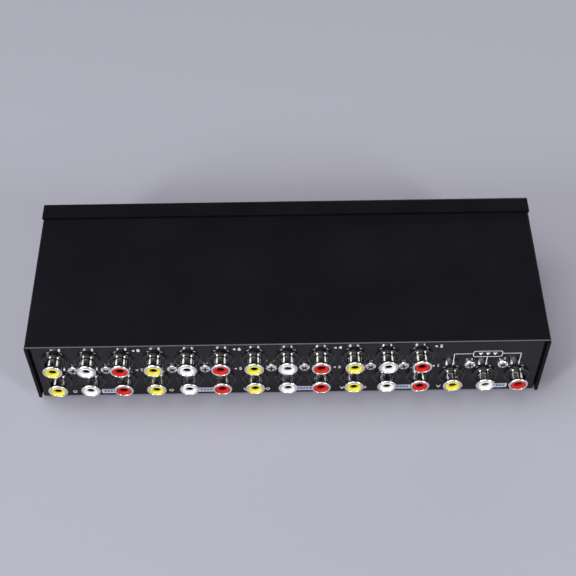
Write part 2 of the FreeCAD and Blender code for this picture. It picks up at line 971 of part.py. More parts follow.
def button_cap(number, x):
    """A cap with a skirt behind the panel and a socket for the plunger."""
    body = new_body(f"button_cap_{number}")
    face = new_sketch(
        body,
        f"cap_outline_{number}",
        "XZ_Plane",
        [centred(x, BUTTON_LEVEL, "sizes.cap_width", "sizes.cap_height")],
        y=SKIRT_FRONT,
    )
    key = add_pad(
        body, f"cap_key_{number}", face, f"sizes.cap_proud + {SKIRT_FRONT} - {FRONT}"
    )
    doc.recompute()
    face_level = value(f"{FRONT} - sizes.cap_proud")
    chamfer = body.newObject("PartDesign::Chamfer", f"cap_edges_{number}")
    chamfer.Base = (
        key,
        [
            f"Edge{i}"
            for i, edge in enumerate(key.Shape.Edges, start=1)
            if all(abs(end.Point.y - face_level) < 0.01 for end in edge.Vertexes)
        ],
    )
    chamfer.setExpression("Size", "sizes.cap_chamfer")
    body.Tip = chamfer
    skirt = new_sketch(
        body,
        f"skirt_outline_{number}",
        "XZ_Plane",
        [
            centred(
                x,
                BUTTON_LEVEL,
                "sizes.cap_width + 2 * sizes.skirt_border",
                "sizes.cap_height + 2 * sizes.skirt_border",
            )
        ],
        y=SKIRT_REAR,
    )
    add_pad(body, f"skirt_{number}", skirt, "sizes.skirt_thickness")
    socket_side = "sizes.plunger_side + 2 * sizes.socket_clearance"
    socket = new_sketch(
        body,
        f"socket_outline_{number}",
        "XZ_Plane",
        [centred(x, BUTTON_LEVEL, socket_side, socket_side)],
        y=PLUNGER_FRONT,
    )
    add_pocket(body, f"socket_{number}", socket, "sizes.socket_depth")


def plunger(number, x):
    """A square stem with two notches for the lock bar, one at rest and one when pressed, and a
    ramped cam between them."""
    body = new_body(f"plunger_{number}")
    left = f"{x} - sizes.plunger_side / 2"
    right = f"{x} + sizes.plunger_side / 2"
    notch = f"{right} - sizes.notch_depth"
    rest_start = f"{LOCK_FRONT} - sizes.slide_gap"
    rest_end = f"{LOCK_REAR} + sizes.slide_gap"
    outline = [
        (left, PLUNGER_FRONT),
        (right, PLUNGER_FRONT),
        (right, f"{rest_start} - sizes.button_travel"),
        (notch, f"{rest_start} - sizes.button_travel"),
        (notch, f"{rest_end} - sizes.button_travel"),
        (right, f"{rest_end} - sizes.button_travel"),
        (right, f"{rest_start} - sizes.cam_ramp"),
        (notch, rest_start),
        (notch, rest_end),
        (right, rest_end),
        (right, PLUNGER_REAR),
        (left, PLUNGER_REAR),
    ]
    stem = new_sketch(
        body, f"stem_outline_{number}", "XY_Plane", [outline], z=BUTTON_LEVEL
    )
    add_pad(body, f"stem_{number}", stem, "sizes.plunger_side", both_ways=True)


def button_spring(number, x):
    """The space of a coil spring round the plunger, between the cap's skirt and the bracket."""
    body = new_body(f"button_spring_{number}")
    for kind, radius in (
        ("Additive", "sizes.spring_outer"),
        ("Subtractive", "sizes.spring_inner"),
    ):
        add_prism(
            body,
            f"coil_{kind.lower()}_{number}",
            kind,
            "sizes.spring_sides",
            radius,
            "sizes.spring_length",
            "XZ_Plane",
            x,
            BRACKET_FRONT,
            BUTTON_LEVEL,
        )


# Eight stations, numbered from the left as seen from the front
for number in range(1, SIZES["switch_count"] + 1):
    station = f"({number - 1} * sizes.switch_pitch - {LAST_SWITCH})"
    switch_housing(number, station)
    button_cap(number, station)
    plunger(number, station)
    button_spring(number, station)

# Check every object, then write each sub-part to its own file
doc.recompute()
faults = [o.Name for o in doc.Objects if {"Invalid", "Error"} & set(o.State)]
bodies = [o for o in doc.Objects if o.TypeId == "PartDesign::Body"]
faults += [b.Label for b in bodies if b.Shape.isNull() or not b.Shape.isValid()]
if faults:
    raise SystemExit(f"not sound: {faults}")
os.makedirs("parts", exist_ok=True)
for body in bodies:
    body.Shape.exportStep(f"parts/{body.Label}.step")
    print(body.Label, len(body.Shape.Solids), "solids", round(body.Shape.Volume, 1), "mm3")
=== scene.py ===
import json
import math

import bmesh
import bpy
from mathutils import Matrix, Vector


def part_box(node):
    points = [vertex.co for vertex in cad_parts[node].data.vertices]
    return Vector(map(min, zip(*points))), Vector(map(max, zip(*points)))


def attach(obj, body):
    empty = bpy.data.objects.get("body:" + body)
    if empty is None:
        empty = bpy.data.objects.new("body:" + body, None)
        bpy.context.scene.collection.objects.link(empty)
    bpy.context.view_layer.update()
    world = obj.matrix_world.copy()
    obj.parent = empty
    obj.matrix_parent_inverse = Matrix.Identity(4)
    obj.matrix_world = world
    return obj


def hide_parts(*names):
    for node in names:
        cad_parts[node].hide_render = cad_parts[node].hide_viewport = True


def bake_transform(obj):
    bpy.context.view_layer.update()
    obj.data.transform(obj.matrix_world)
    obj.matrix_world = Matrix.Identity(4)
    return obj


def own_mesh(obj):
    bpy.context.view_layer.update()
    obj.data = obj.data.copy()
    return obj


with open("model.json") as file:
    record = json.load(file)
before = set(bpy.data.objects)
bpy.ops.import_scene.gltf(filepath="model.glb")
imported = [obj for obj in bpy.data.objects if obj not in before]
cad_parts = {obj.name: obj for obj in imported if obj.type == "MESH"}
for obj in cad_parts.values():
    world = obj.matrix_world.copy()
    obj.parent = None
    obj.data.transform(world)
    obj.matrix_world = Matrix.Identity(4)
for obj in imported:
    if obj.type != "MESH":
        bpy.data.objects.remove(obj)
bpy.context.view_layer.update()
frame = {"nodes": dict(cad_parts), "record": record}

# Base and rear panel
# One sheet of 1.2 mm steel, bent up at the back to carry the jacks. It is sprayed semi-gloss
# black, so the jacks mirror in it, and its top cut edge has a paler painted highlight.
mm = 0.001


def box_of(node):
    """Lowest and highest corner of a CAD node in millimetres, which every shape below is in."""
    return [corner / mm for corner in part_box(node)]


def put(tree, kind, inputs=None, **settings):
    """Adds a node, and sets or links its inputs by name or number."""
    node = tree.nodes.new(kind)
    for word, setting in settings.items():
        setattr(node, word, setting)
    for key, given in (inputs or {}).items():
        if isinstance(given, bpy.types.NodeSocket):
            tree.links.new(given, node.inputs[key])
        else:
            node.inputs[key].default_value = given
    return node


def new_effect(name, inputs, outputs):
    """A shader group with named sockets, and its input and output nodes."""
    group = bpy.data.node_groups.new(name, "ShaderNodeTree")
    for word, kind, start in inputs:
        socket = group.interface.new_socket(word, in_out="INPUT", socket_type=f"NodeSocket{kind}")
        socket.default_value = start
    for word, kind in outputs:
        group.interface.new_socket(word, in_out="OUTPUT", socket_type=f"NodeSocket{kind}")
    return group, group.nodes.new("NodeGroupInput").outputs, group.nodes.new("NodeGroupOutput")


# Sprayed or moulded skin: a fine grain, and broad soft patches in colour and gloss
skin, given, result = new_effect(
    "skin",
    [
        ("Colour", "Color", (0.02, 0.02, 0.02, 1)),
        ("Patch colour", "Color", (0.03, 0.03, 0.03, 1)),
        ("Grain per metre", "Float", 2500.0),
        ("Grain depth", "Float", 0.2),
        ("Patches per metre", "Float", 40.0),
        ("Smoothest", "Float", 0.3),
        ("Roughest", "Float", 0.45),
    ],
    [("Colour", "Color"), ("Roughness", "Float"), ("Normal", "Vector")],
)
here = put(skin, "ShaderNodeTexCoord").outputs["Object"]
grain = put(
    skin, "ShaderNodeTexNoise", {"Vector": here, "Scale": given["Grain per metre"], "Detail": 3.0}
)
patches = put(
    skin, "ShaderNodeTexNoise", {"Vector": here, "Scale": given["Patches per metre"], "Detail": 4.0}
)
mottle = put(
    skin,
    "ShaderNodeMapRange",
    {"Value": patches.outputs["Fac"], "From Min": 0.35, "From Max": 0.7},
    interpolation_type="SMOOTHSTEP",
)
tint = put(
    skin,
    "ShaderNodeMix",
    {0: mottle.outputs["Result"], 6: given["Colour"], 7: given["Patch colour"]},
    data_type="RGBA",
)
mixed_grain = put(
    skin,
    "ShaderNodeMath",
    {0: grain.outputs["Fac"], 1: 0.35, 2: patches.outputs["Fac"]},
    operation="MULTIPLY_ADD",
)
gloss = put(
    skin,
    "ShaderNodeMapRange",
    {
        "Value": mixed_grain.outputs[0],
        "From Min": 0.45,
        "From Max": 0.9,
        "To Min": given["Smoothest"],
        "To Max": given["Roughest"],
    },
)
relief = put(
    skin,
    "ShaderNodeBump",
    {"Height": grain.outputs["Fac"], "Strength": given["Grain depth"], "Distance": 0.0001},
)
skin.links.new(tint.outputs[2], result.inputs["Colour"])
skin.links.new(gloss.outputs["Result"], result.inputs["Roughness"])
skin.links.new(relief.outputs["Normal"], result.inputs["Normal"])

# Painted edge highlight: a mask along a level of one coordinate, broken up by noise
edge_highlight, given, result = new_effect(
    "edge_highlight",
    [
        ("Coordinate", "Float", 0.0),
        ("Starts", "Float", 0.0),
        ("Full", "Float", 1.0),
        ("Break-up", "Float", 0.3),
    ],
    [("Mask", "Float")],
)
here = put(edge_highlight, "ShaderNodeTexCoord").outputs["Object"]
ramp = put(
    edge_highlight,
    "ShaderNodeMapRange",
    {"Value": given["Coordinate"], "From Min": given["Starts"], "From Max": given["Full"]},
)
blotch = put(edge_highlight, "ShaderNodeTexNoise", {"Vector": here, "Scale": 420.0, "Detail": 5.0})
highlight_gaps = put(
    edge_highlight,
    "ShaderNodeMath",
    {0: blotch.outputs["Fac"], 1: given["Break-up"]},
    operation="MULTIPLY",
)
highlight_mask = put(
    edge_highlight,
    "ShaderNodeMath",
    {0: ramp.outputs["Result"], 1: highlight_gaps.outputs[0]},
    operation="SUBTRACT",
    use_clamp=True,
)
edge_highlight.links.new(highlight_mask.outputs[0], result.inputs["Mask"])


def finish(name, colours, grain, patches, gloss, **steady):
    """A material with a skin: its main colour and the colour of its patches, how many grains go
    to the metre and how deep they are, how many patches, and its smoothest and roughest spots.
    What is the same all over is set on the shader itself."""
    material = bpy.data.materials.new(name)
    material.use_nodes = True
    tree = material.node_tree
    shader = tree.nodes["Principled BSDF"]
    film = put(tree, "ShaderNodeGroup", node_tree=skin)
    for word, amount in (
        ("Colour", (*colours[0], 1)),
        ("Patch colour", (*colours[1], 1)),
        ("Grain per metre", grain[0]),
        ("Grain depth", grain[1]),
        ("Patches per metre", patches),
        ("Smoothest", gloss[0]),
        ("Roughest", gloss[1]),
    ):
        film.inputs[word].default_value = amount
    for word, amount in steady.items():
        shader.inputs[word.replace("_", " ")].default_value = amount
    tree.links.new(film.outputs["Colour"], shader.inputs["Base Color"])
    tree.links.new(film.outputs["Roughness"], shader.inputs["Roughness"])
    tree.links.new(film.outputs["Normal"], shader.inputs["Normal"])
    return material


def wear(material, levels, colour, break_up=0.3):
    """Lays a paler painted highlight over what lies beyond the given levels of coordinates, in mm.
    """
    fades_over = 0.15
    tree = material.node_tree
    shader = tree.nodes["Principled BSDF"]
    under = shader.inputs["Base Color"].links[0].from_socket
    here = put(tree, "ShaderNodeTexCoord").outputs["Object"]
    apart = put(tree, "ShaderNodeSeparateXYZ", {0: here}).outputs
    beyond = None
    for axis, level in levels.items():
        past = put(
            tree,
            "ShaderNodeMath",
            {0: apart["xyz".index(axis)], 1: level * mm},
            operation="SUBTRACT",
        ).outputs[0]
        if beyond:
            past = put(tree, "ShaderNodeMath", {0: beyond, 1: past}, operation="MINIMUM").outputs[0]
        beyond = past
    edge = put(
        tree,
        "ShaderNodeGroup",
        {"Coordinate": beyond, "Starts": 0.0, "Full": fades_over * mm, "Break-up": break_up},
        node_tree=edge_highlight,
    )
    over = put(
        tree,
        "ShaderNodeMix",
        {0: edge.outputs["Mask"], 6: under, 7: (*colour, 1)},
        data_type="RGBA",
    )
    tree.links.new(over.outputs[2], shader.inputs["Base Color"])


def dress(node, material):
    """Puts a material on a CAD node that stays."""
    for place in frame["nodes"][node].material_slots:
        place.material = material


panel_paint = finish(
    "semi_gloss_black",
    colours=((0.0014, 0.0014, 0.0020), (0.0022, 0.0022, 0.0030)),
    grain=(1400, 0.05),
    patches=60,
    gloss=(0.12, 0.18),
    Specular_IOR_Level=0.33,
)
base_high = box_of("base_chassis")[1]
cut_edge = 0.25
# Painted highlight: the top cut edge of the rear panel is coloured paler, for the light it catches.
wear(panel_paint, {"z": base_high.z - cut_edge}, (0.12, 0.12, 0.12))
dress("base_chassis", panel_paint)

# Anti-slip pads
# Four soft rubber squares of 1 mm, stamped from sheet with rounded corners and glued under the
# base. Their faces have the fine leather pattern of the roller, and dust clings to them.


def piece(name, shape, materials, body, slot, *nodes, smooth=35):
    """Makes an object of a finished shape, which rides on a body if one is given, and may stand
    for CAD nodes."""
    bmesh.ops.recalc_face_normals(shape, faces=shape.faces)
    bmesh.ops.scale(shape, verts=shape.verts, vec=(mm, mm, mm))
    mesh = bpy.data.meshes.new(name)
    shape.to_mesh(mesh)
    shape.free()
    for material in materials if isinstance(materials, tuple) else (materials,):
        mesh.materials.append(material)
    mesh.shade_flat()
    if smooth:
        mesh.shade_smooth()
        mesh.set_sharp_from_angle(angle=math.radians(smooth))
    made = bpy.data.objects.new(name, mesh)
    bpy.context.scene.collection.objects.link(made)
    if body:
        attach(made, body)
    if nodes:
        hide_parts(*nodes)
    return made


def block(shape, low, high):
    """Adds a box between two corners, and gives its vertices."""
    low, high = Vector(low), Vector(high)
    size = high - low
    place = Matrix.Translation((low + high) / 2) @ Matrix.Diagonal((*size, 1))
    return bmesh.ops.create_cube(shape, size=1, matrix=place)["verts"]


def soften(shape, edges, radius, steps):
    """Rounds edges, or cuts them off if there is one step."""
    bmesh.ops.bevel(
        shape,
        geom=edges,
        offset=radius,
        offset_type="OFFSET",
        affect="EDGES",
        segments=steps,
        profile=0.5,
        material=-1,
        clamp_overlap=True,
    )


def edges_of(vertices):
    """Every edge that meets one of the vertices, once each."""
    return list(dict.fromkeys(edge for vertex in vertices for edge in vertex.link_edges))


def runs_along(edge, axis):
    """Whether an edge is parallel to an axis."""
    along = (edge.verts[1].co - edge.verts[0].co).normalized()
    return abs(along["xyz".index(axis)]) > 0.99


pad_rubber = finish(
    "pad_rubber",
    colours=((0.016, 0.016, 0.016), (0.035, 0.034, 0.032)),
    grain=(1800, 0.6),
    patches=260,
    gloss=(0.7, 0.92),
)
pads_low, pads_high = box_of("rubber_feet")
pad_side = 12
pad_corner = 2.2
pad_rim = 0.25
pads = bmesh.new()
for x in (pads_low.x, pads_high.x - pad_side):
    for y in (pads_low.y, pads_high.y - pad_side):
        corners = block(pads, (x, y, 0), (x + pad_side, y + pad_side, pads_high.z))
        upright = [edge for edge in edges_of(corners) if runs_along(edge, "z")]
        soften(pads, upright, pad_corner, 5)
rims = [edge for edge in pads.edges if all(vertex.co.z < 0.01 for vertex in edge.verts)]
soften(pads, rims, pad_rim, 2)
piece("anti_slip_pads", pads, pad_rubber, "case", "foot_rubber", "rubber_feet")

# Main board
# Brown resin-bonded board, 1.6 mm thick, with a tinned joint under every switch leg. It stands
# clear of the base on four hexagonal posts, and a screw holds each corner.
board_resin = finish(
    "board_resin",
    colours=((0.30, 0.19, 0.075), (0.21, 0.125, 0.05)),
    grain=(900, 0.25),
    patches=120,
    gloss=(0.38, 0.6),
)
dress("main_board", board_resin)
zinc = finish(
    "zinc_plate",
    colours=((0.55, 0.55, 0.56), (0.42, 0.43, 0.46)),
    grain=(1600, 0.12),
    patches=300,
    gloss=(0.24, 0.42),
    Metallic=1.0,
)
dress("board_standoffs", zinc)

# Board screws
# One nickelled steel screw at each corner of the board. The pan head, 4.8 mm across, has a flat
# crown and a cross recess with sloping walls, and the rear panel and the sides have the same.
head_height = 1.6
crown_radius = 1.75
recess_depth = 1.15
recess_taper = 0.62
quarter_of_cross = ((0.42, 0.42), (0.36, 1.5), (-0.36, 1.5))
below_crown = ((2.05, 0.12), (2.28, 0.38), (2.4, 0.8), (2.4, head_height))


def add_copies(shape, part, places=((0, 0, 0),)):
    """Adds a finished part to a shape, once at each place."""
    mesh = bpy.data.meshes.new("part")
    part.to_mesh(mesh)
    part.free()
    for place in places:
        before = len(shape.verts)
        shape.from_mesh(mesh)
        shape.verts.ensure_lookup_table()
        bmesh.ops.translate(shape, verts=shape.verts[before:], vec=place)
    bpy.data.meshes.remove(mesh)


def screw_head(shape, foot, outward, turn):
    """Adds a pan head that stands on a point and faces outward, with its cross turned."""
    head = bmesh.new()
    cross = [
        head.verts.new((x * right - y * up, x * up + y * right, head_height))
        for right, up in ((1, 0), (0, 1), (-1, 0), (0, -1))
        for x, y in quarter_of_cross
    ]
    slot_edges = [head.edges.new((cross[i - 1], cross[i])) for i in range(12)]
    ring = bmesh.ops.create_circle(
        head, segments=24, radius=crown_radius, matrix=Matrix.Translation((0, 0, head_height))
    )["verts"]
    ring_edges = edges_of(ring)
    bmesh.ops.triangle_fill(head, edges=slot_edges + ring_edges, use_beauty=True)
    down = bmesh.ops.extrude_edge_only(head, edges=slot_edges)["geom"]
    deep = [v for v in down if isinstance(v, bmesh.types.BMVert)]
    bmesh.ops.translate(head, verts=deep, vec=(0, 0, -recess_depth))
    bmesh.ops.scale(head, verts=deep, vec=(recess_taper, recess_taper, 1))
    bottom = bmesh.ops.triangle_fill(
        head, edges=[e for e in down if isinstance(e, bmesh.types.BMEdge)], use_beauty=True
    )["geom"]
    # The walls and floor of the recess take the second material, its painted shade.
    for face in down + bottom:
        if isinstance(face, bmesh.types.BMFace):
            face.material_index = 1
    level = ring_edges
    for reach, drop in below_crown:
        grown = bmesh.ops.extrude_edge_only(head, edges=level)["geom"]
        rim = [v for v in grown if isinstance(v, bmesh.types.BMVert)]
        level = [e for e in grown if isinstance(e, bmesh.types.BMEdge)]
        scale = reach / rim[0].co.xy.length
        bmesh.ops.scale(head, verts=rim, vec=(scale, scale, 1))
        for vertex in rim:
            vertex.co.z = head_height - drop
    bmesh.ops.transform(
        head,
        verts=head.verts,
        matrix=Matrix.Translation(foot)
        @ Vector(outward).to_track_quat("Z", "Y").to_matrix().to_4x4()
        @ Matrix.Rotation(math.radians(turn), 4, "Z"),
    )
    add_copies(shape, head)


nickel = finish(
    "nickel_screw",
    colours=((0.95, 0.93, 0.91), (0.86, 0.82, 0.79)),
    grain=(2600, 0.1),
    patches=500,
    gloss=(0.16, 0.3),
    Metallic=1.0,
)
# Painted shade: the walls and floor of each cross recess are coloured dark brown, for the shade
# inside it.
recess_shade = finish(
    "screw_recess_shade",
    colours=((0.05, 0.034, 0.025), (0.03, 0.022, 0.017)),
    grain=(2600, 0.2),
    patches=900,
    gloss=(0.35, 0.5),
    Metallic=0.8,
)
front_foot = box_of("board_screws")[1].z - head_height
board_under, board_top = (corner.z for corner in box_of("main_board"))
posts_low, posts_high = box_of("board_standoffs")
post_radius = 3.2
post_depth = post_radius * math.cos(math.radians(30))
board_heads = bmesh.new()
for number, x in enumerate((posts_low.x + post_radius, posts_high.x - post_radius)):
    front = (x, posts_low.y + post_depth, front_foot)
    rear = (x, posts_high.y - post_depth, board_top)
    screw_head(board_heads, front, (0, 0, 1), 20 + 50 * number)
    screw_head(board_heads, rear, (0, 0, 1), 65 - 30 * number)
nickel_and_recess_shade = (nickel, recess_shade)
piece("board_screw_heads", board_heads, nickel_and_recess_shade, "case", "zinc_steel", "board_screws")

# Jack blocks
# Each block is one black moulding of six jacks, or of three at the output. It stands on the
# board behind the panel, and a stepped round collar for each jack comes through a hole in it.
block_plastic = finish(
    "block_plastic",
    colours=((0.004, 0.004, 0.0045), (0.007, 0.007, 0.0075)),
    grain=(2200, 0.08),
    patches=220,
    gloss=(0.10, 0.17),
    Specular_IOR_Level=0.5,
)
jacks = {}
for mount in frame["record"]["mounts"]:
    if mount["kind"] == "bore":
        group, colour = mount["name"].rsplit("_", 1)
        jacks.setdefault(group, {})[colour] = Vector(mount["pos_m"]) / mm
panel_face = base_high.y
panel_sheet = 1.2
panel_inner = panel_face - panel_sheet
block_rear = box_of("input_jack_blocks")[0].y
block_pitch = 42
block_width = 41.6
past_jack = 6.8
block_chamfer = 5
block_rounding = 0.35


def spun(outline, axis, steps):
    """A round shape: an outline of radii and of levels along an axis, spun about that axis."""
    part = bmesh.new()
    dots = [part.verts.new((radius, level * axis[1], level * axis[2])) for radius, level in outline]
    wire = [part.edges.new(pair) for pair in zip(dots, dots[1:])]
    bmesh.ops.spin(
        part,
        geom=dots + wire,
        cent=(0, 0, 0),
        axis=axis,
        angle=math.tau,
        steps=steps,
        use_merge=True,
    )
    bmesh.ops.remove_doubles(part, verts=part.verts, dist=1e-4)
    bmesh.ops.recalc_face_normals(part, faces=part.faces)
    return part


def turned(shape, outline, face, places, steps):
    """Adds a round shape on the axis of each jack, with its levels counted from one of Y."""
    part = spun(outline, (0, 1, 0), steps)
    add_copies(shape, part, [(place.x, face, place.z) for place in places])


def moulding(shape, low, high):
    """Adds a block with its upper front edge cut off and the other edges just rounded."""
    one = bmesh.new()
    block(one, low, high)
    upper_front = [
        edge
        for edge in one.edges
        if all(v.co.y < low[1] + 0.001 and v.co.z > high[2] - 0.001 for v in edge.verts)
    ]
    soften(one, upper_front, block_chamfer, 1)
    soften(one, list(one.edges), block_rounding, 2)
    add_copies(shape, one)


# Radii of a collar and levels from the panel's face: out of the block, over its steps, back down
collar_outline = (
    (4.2, -4.0), (5.72, -4.0), (5.72, 0.02), (6.2, 0.02), (6.28, 0.1), (6.2, 0.2), (5.66, 0.24),
    (5.6, 0.3), (5.6, 0.74), (5.56, 0.94), (5.46, 1.12), (5.31, 1.25), (5.14, 1.33), (4.96, 1.35),
    (4.62, 1.35), (4.52, 1.24), (4.48, 0.8), (4.36, 0.7), (4.26, 0.8), (4.22, 1.0), (3.6, 1.0),
    (3.6, -4.0), (4.2, -4.0),
)
inputs = [group for group in jacks if group != "output"]
for node, first_column, blocks, groups in (
    ("input_jack_blocks", 98, 4, inputs),
    ("output_jack_block", -70, 1, ["output"]),
):
    bodies = bmesh.new()
    top = box_of(node)[1].z
    for number in range(blocks):
        right = first_column + past_jack - block_pitch * number
        left = right - block_width
        moulding(bodies, (left, block_rear, board_top), (right, panel_inner, top))
    places = [place for group in groups for place in jacks[group].values()]
    turned(bodies, collar_outline, panel_face, places, steps=36)
    piece(f"{node}_moulded", bodies, block_plastic, "case", "block_plastic", node)

# Jack shells
# Each outer contact is a steel cup drawn to 7.4 mm, with the lip rolled over to 8.3 mm. It is
# bright plated, so it mirrors the panel and the lights, and plugs have rubbed the lip dull.
plating = finish(
    "bright_plating",
    colours=((0.95, 0.93, 0.92), (0.88, 0.86, 0.85)),
    grain=(1500, 0.03),
    patches=400,
    gloss=(0.05, 0.11),
    Metallic=1.0,
)
lip_front = box_of("input_shells")[1].y
rub_starts = lip_front - 1.1
rub_full = lip_front - 0.7
rubbed_dull = 0.17
tree = plating.node_tree
roughness = tree.nodes["Principled BSDF"].inputs["Roughness"]
here = put(tree, "ShaderNodeTexCoord").outputs["Object"]
along = put(tree, "ShaderNodeSeparateXYZ", {0: here}).outputs[1]
rubbed = put(
    tree,
    "ShaderNodeMapRange",
    {
        "Value": along,
        "From Min": rub_starts * mm,
        "From Max": rub_full * mm,
        "To Min": 0.0,
        "To Max": rubbed_dull,
    },
)
satin = put(
    tree,
    "ShaderNodeMath",
    {0: roughness.links[0].from_socket, 1: rubbed.outputs["Result"]},
    operation="ADD",
)
tree.links.new(satin.outputs[0], roughness)

# Radii of a shell and levels from its lip: up its outside, round the rolled lip, down inside
shell_outline = (
    (3.3, -5.7), (3.7, -5.7), (3.7, -4.0), (3.7, -1.8), (3.74, -1.45), (3.86, -1.16),
    (4.0, -0.96), (4.1, -0.8), (4.14, -0.64), (4.1, -0.46), (4.0, -0.3), (3.84, -0.16),
    (3.64, -0.05), (3.44, 0.0), (3.3, -0.06), (3.2, -0.2), (3.18, -1.0), (3.18, -5.7),
    (3.3, -5.7),
)
for node, groups in (("input_shells", inputs), ("output_shells", ["output"])):
    cups = bmesh.new()
    places = [place for group in groups for place in jacks[group].values()]
    turned(cups, shell_outline, lip_front, places, steps=44)
    piece(f"{node}_drawn", cups, plating, "case", "plating", node)

# Coloured inserts
# Each shell holds a plastic insulator, moulded in the colour of its signal: yellow for the
# picture, white and red for the sound. It is dished towards the hole for the plug's pin.
insert_colours = {
    "yellow": ((0.86, 0.76, 0.085), (0.78, 0.68, 0.065)),
    "white": ((0.90, 0.90, 0.90), (0.85, 0.85, 0.85)),
    "red": ((0.60, 0.016, 0.005), (0.50, 0.011, 0.004)),
}

# Radii of an insert and levels from the shell's lip: up its outside, over the dish, down the hole
insert_outline = (
    (1.62, -4.7), (3.2, -4.7), (3.2, -0.9), (3.0, -0.84), (3.0, -0.18), (2.92, -0.1),
    (2.66, -0.1), (2.5, -0.13), (2.44, -0.24), (2.1, -0.37), (1.82, -0.5), (1.7, -0.66),
    (1.68, -1.4), (1.62, -4.7),
)
for colour, (main, deep) in insert_colours.items():
    plastic = finish(
        f"{colour}_insert",
        colours=(main, deep),
        grain=(1900, 0.06),
        patches=350,
        gloss=(0.28, 0.42),
        Specular_IOR_Level=0.3,
    )
    inserts = bmesh.new()
    places = [group[colour] for group in jacks.values()]
    turned(inserts, insert_outline, lip_front, places, steps=32)
    slot = f"{colour}_plastic"
    piece(f"{colour}_inserts", inserts, plastic, "case", slot, f"{colour}_insulators")

# Centre contacts
# Deep in each insert sits a tube, flared at its mouth, which grips the plug's pin. The outputs
# have gilt brass ones, and the inputs bronze ones coloured near black as painted shade.
contact_outline = (
    (1.53, -1.3), (1.53, -4.6), (0.4, -4.7), (0.4, -4.55), (1.42, -4.45), (1.44, -1.6),
    (1.53, -1.3),
)
for name, main, deep, groups in (
    ("gilt_contacts", (0.40, 0.22, 0.06), (0.25, 0.13, 0.035), ["output"]),
    # The inputs' contacts are coloured near black, as painted shade deep in their holes.
    ("bronze_contacts_painted_shade", (0.05, 0.03, 0.015), (0.02, 0.013, 0.008), inputs),
):
    metal = finish(
        name,
        colours=(main, deep),
        grain=(1500, 0.08),
        patches=600,
        gloss=(0.35, 0.5),
        Metallic=1.0,
    )
    tubes = bmesh.new()
    places = [place for group in groups for place in jacks[group].values()]
    turned(tubes, contact_outline, lip_front, places, steps=20)
    piece(name, tubes, metal, "case", "plating")

# Panel screws
# Two of the same nickelled screws go through the rear panel into each block, between its
# columns of jacks, and each stopped at its own angle when it was driven home.
screws_low, screws_high = box_of("jack_screws")
screw_level = (screws_low.z + screws_high.z) / 2
panel_heads = bmesh.new()
for number, group in enumerate(("output", "input_2", "input_4", "input_6", "input_8")):
    for step, (one, other) in enumerate((("yellow", "white"), ("white", "red"))):
        x = (jacks[group][one].x + jacks[group][other].x) / 2
        turn = (12 + 37 * number + 53 * step) % 90
        screw_head(panel_heads, (x, panel_face, screw_level), (0, 1, 0), turn)
piece("panel_screw_heads", panel_heads, nickel_and_recess_shade, "case", "zinc_steel", "jack_screws")

# Print on the rear panel
# White screen-printed marks: a pointer and a number beside each input, a bracket that gathers
# the three output jacks under a box of pointers, and bars and marks under the jacks.
ink, dark_ink, strip_ink = (
    finish(name, colours=colours, grain=(3000, 0.15), patches=900, gloss=(0.5, 0.65))
    for name, colours in (
        ("white_ink", ((0.90, 0.90, 0.91), (0.78, 0.78, 0.80))),
        ("dark_ink", ((0.09, 0.09, 0.14), (0.14, 0.14, 0.19))),
        ("strip_ink", ((0.52, 0.56, 0.68), (0.44, 0.48, 0.60))),
    )
)
ink_film = 0.03
line = 0.27
above_jack = 6.3
below_jack = 9.8
pointer_aside = 5.9
figure_aside = 7.9
figure_size = 2.6
bar_width, bar_height, bar_pitch = 0.9, 1.35, 1.35
ring_aside, ring_size, ring_line = 5.1, 1.7, 0.3
v_aside, v_half, v_lean = 4.6, 0.42, 24
strip_width, strip_height = 8.4, 3.2
box_width, box_height = 12.4, 4.3
box_rise = 14.6


def on_rear(x, z, level=0.0):
    """Turns a flat mark to face +Y on the rear panel, reading from +X to -X."""
    turn = Matrix(((-1, 0, 0, 0), (0, 0, 1, 0), (0, 1, 0, 0), (0, 0, 0, 1)))
    return Matrix.Translation((x, panel_face + level, z)) @ turn


def lay(shape, mark, place):
    """Gives a flat mark the thickness of the ink and puts it in its place."""
    grown = bmesh.ops.extrude_face_region(mark, geom=list(mark.faces))["geom"]
    raised = [v for v in grown if isinstance(v, bmesh.types.BMVert)]
    bmesh.ops.translate(mark, verts=raised, vec=(0, 0, ink_film))
    bmesh.ops.transform(mark, verts=mark.verts, matrix=place)
    add_copies(shape, mark)


def bar(width, height, corner=0.0):
    """A flat rounded bar about the origin."""
    mark = bmesh.new()
    bmesh.ops.create_grid(
        mark, x_segments=1, y_segments=1, size=0.5, matrix=Matrix.Diagonal((width, height, 1, 1))
    )
    if corner:
        bmesh.ops.bevel(
            mark,
            geom=list(mark.verts),
            offset=corner,
            offset_type="OFFSET",
            affect="VERTICES",
            segments=4,
            profile=0.5,
            material=-1,
        )
    return mark


def pointer(radius, turn):
    """A flat triangle whose point is at the angle turn."""
    mark = bmesh.new()
    bmesh.ops.create_circle(
        mark,
        cap_ends=True,
        segments=3,
        radius=radius,
        matrix=Matrix.Rotation(math.radians(turn), 4, "Z"),
    )
    return mark


def hollow(mark, width):
    """Keeps only the outline of a flat mark, as a line of the given width."""
    rim = bmesh.ops.inset_region(
        mark, faces=list(mark.faces), thickness=width, use_boundary=True, use_even_offset=True
    )["faces"]
    middle = [face for face in mark.faces if face not in rim]
    bmesh.ops.delete(mark, geom=middle, context="FACES")
    return mark


def numeral(shape, figure, size, place):
    """Adds a printed figure, centred on its place."""
    letter = bpy.data.curves.new("figure", "FONT")
    letter.body = figure
    letter.size = size
    letter.align_x = "CENTER"
    letter.align_y = "CENTER"
    letter.offset = 0.03 * size
    letter.extrude = ink_film
    letter.resolution_u = 4
    holder = bpy.data.objects.new("figure", letter)
    bpy.context.scene.collection.objects.link(holder)
    part = bpy.data.meshes.new_from_object(holder)
    bpy.data.objects.remove(holder)
    part.transform(place)
    shape.from_mesh(part)
    bpy.data.meshes.remove(part)


